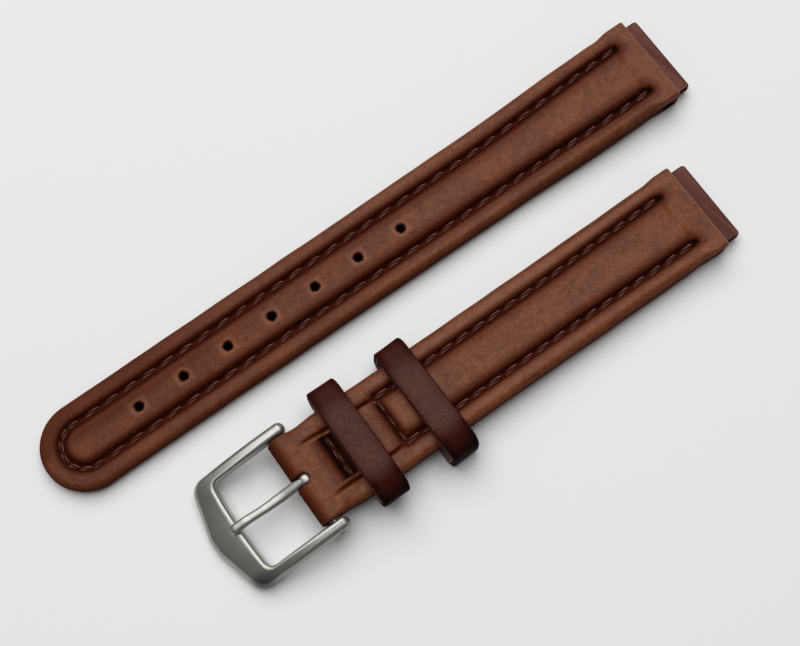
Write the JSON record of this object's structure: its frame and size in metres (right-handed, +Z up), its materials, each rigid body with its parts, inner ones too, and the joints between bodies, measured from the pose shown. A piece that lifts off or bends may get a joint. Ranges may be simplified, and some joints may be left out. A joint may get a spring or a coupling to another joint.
{
  "type": "watch strap",
  "caption": "Padded leather watch strap in two halves: rounded tail with adjustment holes, and a buckle half with two keepers and a swinging pin buckle.",
  "frame": {"origin": "on the table, under the middle of the laid-out strap", "axes": "+X along both halves towards their lug ends, +Y from the buckle half towards the tail half, +Z up"},
  "size_m": [0.1036, 0.0378, 0.0064],
  "materials": {
    "upper_leather": "smooth mid-brown leather, paler on the crowns and darker in the sewn channels",
    "keeper_leather": "smooth dark brown leather with burnished edges",
    "loop_leather": "dark brown leather, dull",
    "lining_leather": "mauve brown suede-like lining",
    "padding": "pressed felt filling, hidden",
    "tape": "woven tape, hidden",
    "buckle_steel": "bead-blasted satin steel, warm grey",
    "thread": "waxed dark mauve-brown thread of two plies",
    "bar_steel": "plain turned steel"
  },
  "bodies": {
    "buckle_half": {"buckle_side_upper_leather": "upper_leather", "buckle_side_padding": "padding", "buckle_side_lug_wedge": "padding", "buckle_side_reinforcing_tape": "tape", "buckle_side_lining_leather": "lining_leather", "buckle_side_lug_loop": "loop_leather", "fixed_keeper": "keeper_leather", "fixed_keeper_lining": "lining_leather", "spring_bar_tube": "bar_steel", "spring_bar_spring": "bar_steel"},
    "buckle_frame": {"buckle_frame": "buckle_steel"},
    "buckle_tongue": {"buckle_tongue": "buckle_steel"},
    "free_keeper": {"free_keeper": "keeper_leather", "free_keeper_lining": "lining_leather"},
    "pin_left": {"spring_bar_pin_left": "bar_steel"},
    "pin_right": {"spring_bar_pin_right": "bar_steel"},
    "tail_half": {"tail_upper_leather": "upper_leather", "tail_padding": "padding", "tail_lug_wedge": "padding", "tail_reinforcing_tape": "tape", "tail_lining_leather": "lining_leather", "tail_lug_loop": "loop_leather"}
  },
  "joints": [
    {"name": "frame_swing", "type": "hinge", "parent": "buckle_half", "child": "buckle_frame", "pos_m": [-0.02452, -0.00933, 0.00354], "axis": [0, 1, 0], "range_deg": [-78, 75]},
    {"name": "tongue_swing", "type": "hinge", "parent": "buckle_frame", "child": "buckle_tongue", "pos_m": [-0.02452, -0.00933, 0.00354], "axis": [0, 1, 0], "range_deg": [0, 50]},
    {"name": "free_keeper_slide", "type": "slide", "parent": "buckle_half", "child": "free_keeper", "axis": [0.9996, 0, -0.0281], "range_m": [-0.0058, 0.018]},
    {"name": "pin_left_press", "type": "slide", "parent": "buckle_half", "child": "pin_left", "axis": [0, -1, 0], "range_m": [0, 0.00135], "stiffness_N_per_m": 400, "deforming": ["spring_bar_spring"]},
    {"name": "pin_right_press", "type": "slide", "parent": "buckle_half", "child": "pin_right", "axis": [0, 1, 0], "range_m": [0, 0.00135], "stiffness_N_per_m": 400, "deforming": ["spring_bar_spring"]},
    {"name": "tail_lift", "type": "slide", "parent": "buckle_half", "child": "tail_half", "axis": [0, 0, 1], "range_m": [0, 0.05]}
  ]
}
